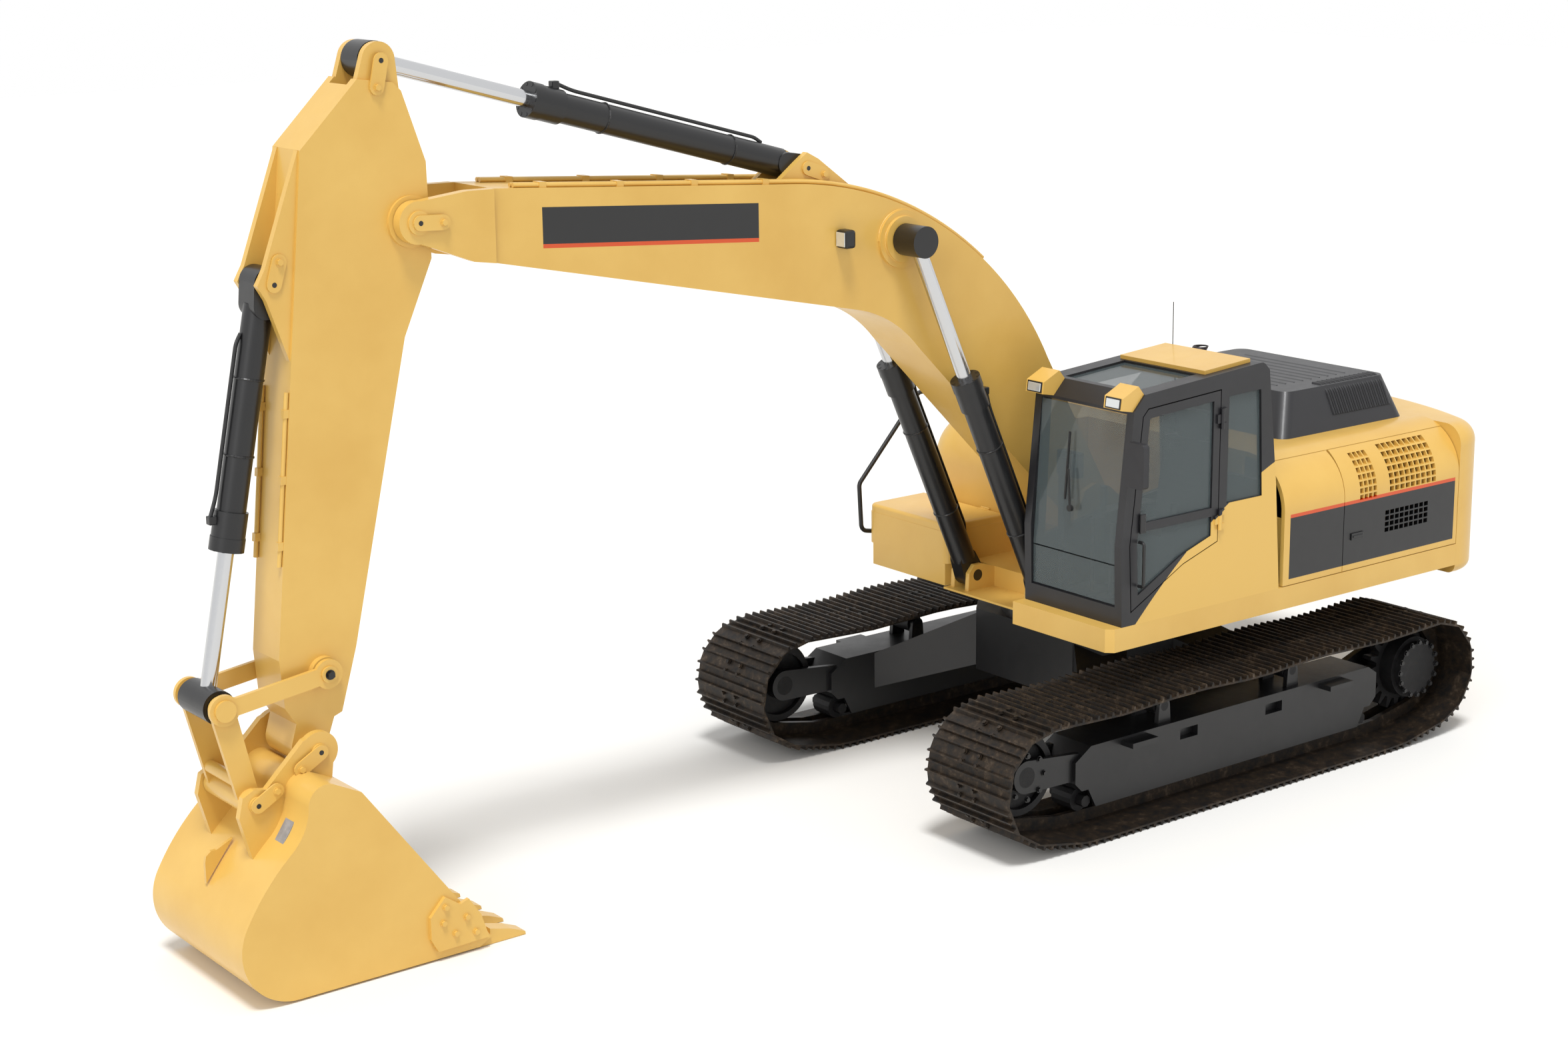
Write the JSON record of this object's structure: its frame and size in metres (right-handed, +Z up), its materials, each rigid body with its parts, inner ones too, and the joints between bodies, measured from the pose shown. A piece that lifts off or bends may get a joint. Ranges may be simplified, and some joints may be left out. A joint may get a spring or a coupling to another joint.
{
  "type": "crawler excavator",
  "caption": "Crawler excavator with reach boom, stick and toothed bucket on two tracks, a glazed cab on the left and an engine house that turns above the tracks.",
  "frame": {"origin": "on the ground under the slew axis, midway between the tracks", "axes": "+X forward along the tracks, +Y to the cab side, +Z up"},
  "size_m": [10.1072, 3.39, 5.3739],
  "materials": {
    "yellow_paint": "semi-gloss enamel",
    "black_paint": "satin enamel",
    "cab_paint": "satin powder coat",
    "track_steel": "worn steel",
    "machined_rod": "hard chrome",
    "cast_iron": "painted casting",
    "tinted_glass": "tinted safety glass",
    "seat_fabric": "woven fabric",
    "moulded_plastic": "textured moulding",
    "exhaust_steel": "heat-stained steel",
    "lamp_housing": "moulded housing"
  },
  "bodies": {
    "undercarriage": {"carbody": "black_paint", "slew_ring": "cast_iron", "track_frame_left": "black_paint", "track_frame_right": "black_paint", "track_left": "track_steel", "track_right": "track_steel", "idlers": "cast_iron", "drive_sprockets": "cast_iron", "track_rollers": "cast_iron"},
    "house": {"house_frame": "yellow_paint", "side_panel_left": "yellow_paint", "engine_cover": "yellow_paint", "engine": "cast_iron", "counterweight": "yellow_paint", "tanks": "yellow_paint", "toolbox": "yellow_paint", "cab_shell": "cab_paint", "cab_glass": "tinted_glass", "operator_seat": "seat_fabric", "cab_controls": "moulded_plastic", "cab_roof": "yellow_paint", "work_lamps": "lamp_housing", "cab_mirror": "moulded_plastic", "exhaust_pipe": "exhaust_steel", "handrails": "black_paint"},
    "cab_door": {"cab_door": "cab_paint", "cab_door_glass": "tinted_glass"},
    "engine_door": {"engine_door_left": "yellow_paint"},
    "pump_door": {"pump_door_right": "yellow_paint"},
    "hood": {"hood": "cab_paint"},
    "toolbox_lid": {"toolbox_lid": "yellow_paint"},
    "boom": {"boom": "yellow_paint", "boom_lines": "yellow_paint"},
    "boom_barrels": {"boom_cylinder_barrels": "black_paint"},
    "boom_rods": {"boom_cylinder_rods": "machined_rod"},
    "stick": {"stick": "yellow_paint", "stick_lines": "yellow_paint"},
    "stick_barrel": {"stick_cylinder_barrel": "black_paint"},
    "stick_rod": {"stick_cylinder_rod": "machined_rod"},
    "bucket_barrel": {"bucket_cylinder_barrel": "black_paint"},
    "bucket_rod": {"bucket_cylinder_rod": "machined_rod"},
    "idler_links": {"idler_links": "yellow_paint"},
    "power_link": {"power_link": "yellow_paint"},
    "bucket": {"bucket": "yellow_paint", "bucket_teeth": "yellow_paint"}
  },
  "joints": [
    {"name": "swing", "type": "hinge", "parent": "undercarriage", "child": "house", "pos_m": [0, 0, 1.19], "axis": [0, 0, 1], "continuous": true},
    {"name": "boom_lift", "type": "hinge", "parent": "house", "child": "boom", "pos_m": [0.19, 0, 1.81], "axis": [0, -1, 0], "range_deg": [-56, 46]},
    {"name": "stick_fold", "type": "hinge", "parent": "boom", "child": "stick", "pos_m": [5.57, 0, 4.345], "axis": [0, 1, 0], "range_deg": [-64, 56]},
    {"name": "bucket_curl", "type": "hinge", "parent": "stick", "child": "bucket", "pos_m": [6.402, 0, 1.354], "axis": [0, 1, 0], "range_deg": [-90, 88]},
    {"name": "boom_cylinder_tilt", "type": "hinge", "parent": "house", "child": "boom_barrels", "pos_m": [0.8, 0, 1.312], "axis": [0, -1, 0], "range_deg": [-53.6, 44]},
    {"name": "boom_rod_slide", "type": "slide", "parent": "boom_barrels", "child": "boom_rods", "axis": [0.4077, 0, 0.9131], "range_m": [-0.69, 0.567]},
    {"name": "stick_cylinder_tilt", "type": "hinge", "parent": "boom", "child": "stick_barrel", "pos_m": [2.655, 0, 4.418], "axis": [0, 1, 0], "range_deg": [-6.4, 5.6]},
    {"name": "stick_rod_slide", "type": "slide", "parent": "stick_barrel", "child": "stick_rod", "axis": [0.9637, 0, 0.2671], "range_m": [-0.887, 0.776]},
    {"name": "bucket_cylinder_tilt", "type": "hinge", "parent": "stick", "child": "bucket_barrel", "pos_m": [6.445, 0, 4.067], "axis": [0, 1, 0], "range_deg": [-4.8, 4.7]},
    {"name": "bucket_rod_slide", "type": "slide", "parent": "bucket_barrel", "child": "bucket_rod", "axis": [0.2083, 0, -0.9781], "range_m": [-0.577, 0.564]},
    {"name": "idler_link_turn", "type": "hinge", "parent": "stick", "child": "idler_links", "pos_m": [6.285, 0, 1.787], "axis": [0, 1, 0], "range_deg": [-51, 50]},
    {"name": "power_link_turn", "type": "hinge", "parent": "bucket", "child": "power_link", "pos_m": [6.816, 0, 1.122], "axis": [0, 1, 0], "range_deg": [-57, 58]},
    {"name": "cab_door_swing", "type": "hinge", "parent": "house", "child": "cab_door", "pos_m": [0.165, 1.455, 2.1], "axis": [0, 0, 1], "range_deg": [0, 160]},
    {"name": "engine_door_swing", "type": "hinge", "parent": "house", "child": "engine_door", "pos_m": [-2.374, 1.462, 1.8], "axis": [0, 0, 1], "range_deg": [0, 110]},
    {"name": "pump_door_swing", "type": "hinge", "parent": "house", "child": "pump_door", "pos_m": [-2.374, -1.462, 1.8], "axis": [0, 0, -1], "range_deg": [0, 110]},
    {"name": "hood_lift", "type": "hinge", "parent": "house", "child": "hood", "pos_m": [-2.302, 0.1125, 2.2743], "axis": [0, -1, 0], "range_deg": [0, 60]},
    {"name": "toolbox_lid_lift", "type": "hinge", "parent": "house", "child": "toolbox_lid", "pos_m": [0.338, -0.985, 1.6556], "axis": [0, -1, 0], "range_deg": [0, 80]}
  ],
  "couplings": [
    {"joint": "boom_cylinder_tilt", "follows": "boom_lift", "ratio": 0.95123},
    {"joint": "boom_rod_slide", "follows": "boom_lift", "m_per_rad": 0.70357},
    {"joint": "stick_cylinder_tilt", "follows": "stick_fold", "ratio": 0.09768},
    {"joint": "stick_rod_slide", "follows": "stick_fold", "m_per_rad": 0.79259},
    {"joint": "bucket_cylinder_tilt", "follows": "bucket_curl", "ratio": 0.05262},
    {"joint": "bucket_rod_slide", "follows": "bucket_curl", "m_per_rad": 0.36637},
    {"joint": "idler_link_turn", "follows": "bucket_curl", "ratio": 0.56},
    {"joint": "power_link_turn", "follows": "bucket_curl", "ratio": -0.64}
  ]
}
